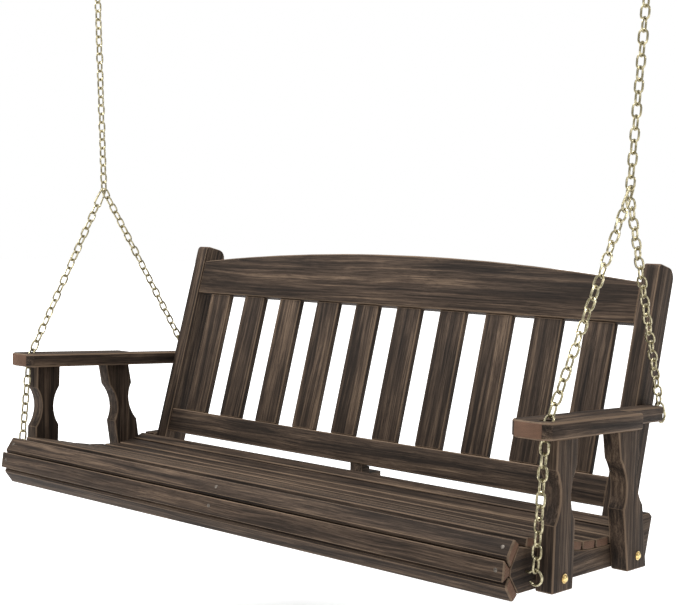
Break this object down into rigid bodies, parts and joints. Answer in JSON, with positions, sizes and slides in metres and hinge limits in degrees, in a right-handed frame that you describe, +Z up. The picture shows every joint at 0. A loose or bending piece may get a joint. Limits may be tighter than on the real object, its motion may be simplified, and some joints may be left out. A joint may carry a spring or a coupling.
{
  "type": "porch swing",
  "caption": "Slatted wooden porch swing bench with a rolled front edge, shaped arm supports and an arched back, hung from ceiling hooks on steel chain.",
  "frame": {"origin": "on the ceiling, midway between the two ceiling hooks", "axes": "+X to the right as seen from the front, -Y to the open front of the seat, +Z up"},
  "size_m": [1.6774, 0.6916, 1.4],
  "materials": {
    "burnt_wood": "charred and brushed, matt",
    "zinc_steel": "yellow zinc plate",
    "brass_plate": "satin"
  },
  "bodies": {
    "ceiling_hooks": {"ceiling_hook_left": "zinc_steel", "ceiling_hook_right": "zinc_steel"},
    "top_link_left": {"top_link_left": "zinc_steel"},
    "upper_chain_left": {"upper_chain_left": "zinc_steel"},
    "bend_link_left": {"bend_link_left": "zinc_steel"},
    "bench": {"back_slat_1": "burnt_wood", "back_slat_2": "burnt_wood", "back_slat_3": "burnt_wood", "back_slat_4": "burnt_wood", "back_slat_5": "burnt_wood", "back_slat_6": "burnt_wood", "back_slat_7": "burnt_wood", "back_slat_8": "burnt_wood", "back_slat_9": "burnt_wood", "back_slat_10": "burnt_wood", "seat_slat_1": "burnt_wood", "seat_slat_2": "burnt_wood", "seat_slat_3": "burnt_wood", "seat_slat_4": "burnt_wood", "seat_slat_5": "burnt_wood", "seat_slat_6": "burnt_wood", "seat_slat_7": "burnt_wood", "seat_slat_8": "burnt_wood", "front_slat_upper": "burnt_wood", "front_slat_middle": "burnt_wood", "front_slat_lower": "burnt_wood", "top_rail": "burnt_wood", "bottom_rail": "burnt_wood", "centre_bearer": "burnt_wood", "back_post_left": "burnt_wood", "back_post_right": "burnt_wood", "seat_rail_left": "burnt_wood", "seat_rail_right": "burnt_wood", "arm_left": "burnt_wood", "arm_right": "burnt_wood", "front_support_left": "burnt_wood", "front_support_right": "burnt_wood", "rear_support_left": "burnt_wood", "rear_support_right": "burnt_wood", "front_bolt_left": "brass_plate", "front_bolt_right": "brass_plate", "rear_bolt_left": "brass_plate", "rear_bolt_right": "brass_plate", "snap_hook_left": "zinc_steel", "front_chain_left": "zinc_steel", "lower_chain_left": "zinc_steel", "rear_chain_left": "zinc_steel", "arm_hook_left": "zinc_steel", "rail_hook_left": "zinc_steel", "snap_hook_right": "zinc_steel", "front_chain_right": "zinc_steel", "lower_chain_right": "zinc_steel", "rear_chain_right": "zinc_steel", "arm_hook_right": "zinc_steel", "rail_hook_right": "zinc_steel"},
    "snap_gate_left": {"snap_gate_left": "zinc_steel"},
    "snap_gate_right": {"snap_gate_right": "zinc_steel"},
    "top_link_right": {"top_link_right": "zinc_steel"},
    "upper_chain_right": {"upper_chain_right": "zinc_steel"},
    "bend_link_right": {"bend_link_right": "zinc_steel"}
  },
  "joints": [
    {"name": "swing", "type": "hinge", "parent": "ceiling_hooks", "child": "top_link_left", "pos_m": [-0.80866, 0, -0.056], "axis": [1, 0, 0], "range_deg": [-30, 30]},
    {"name": "sway", "type": "hinge", "parent": "top_link_left", "child": "upper_chain_left", "pos_m": [-0.80741, 0, -0.07666], "axis": [0, 1, 0], "range_deg": [-6, 6]},
    {"name": "bend", "type": "hinge", "parent": "upper_chain_left", "child": "bend_link_left", "pos_m": [-0.77465, 0, -0.62018], "axis": [0, 1, 0], "range_deg": [-6.3, 6.3]},
    {"name": "pitch", "type": "hinge", "parent": "bend_link_left", "child": "bench", "pos_m": [-0.7733, 0, -0.64253], "axis": [1, 0, 0], "range_deg": [-15, 15]},
    {"name": "swing_right", "type": "hinge", "parent": "ceiling_hooks", "child": "top_link_right", "pos_m": [0.80866, 0, -0.056], "axis": [1, 0, 0], "range_deg": [-30, 30]},
    {"name": "sway_right", "type": "hinge", "parent": "top_link_right", "child": "upper_chain_right", "pos_m": [0.80741, 0, -0.07666], "axis": [0, 1, 0], "range_deg": [-6, 6]},
    {"name": "bend_right", "type": "hinge", "parent": "upper_chain_right", "child": "bend_link_right", "pos_m": [0.77465, 0, -0.62018], "axis": [0, 1, 0], "range_deg": [-6.3, 6.3]},
    {"name": "gate_left", "type": "hinge", "parent": "bench", "child": "snap_gate_left", "pos_m": [-0.77473, -0.01081, -0.67922], "axis": [0.9993, 0.0194, 0.0333], "range_deg": [0, 18], "stiffness_Nm_per_rad": 0.02, "springref_deg": -8.59},
    {"name": "gate_right", "type": "hinge", "parent": "bench", "child": "snap_gate_right", "pos_m": [0.77473, -0.01081, -0.67922], "axis": [0.9993, -0.0194, -0.0333], "range_deg": [0, 18], "stiffness_Nm_per_rad": 0.02, "springref_deg": -8.59}
  ],
  "couplings": [
    {"joint": "bend", "follows": "sway", "ratio": -1.0423},
    {"joint": "swing_right", "follows": "swing", "ratio": 1},
    {"joint": "sway_right", "follows": "sway", "ratio": 1},
    {"joint": "bend_right", "follows": "sway", "ratio": -1.0423}
  ]
}
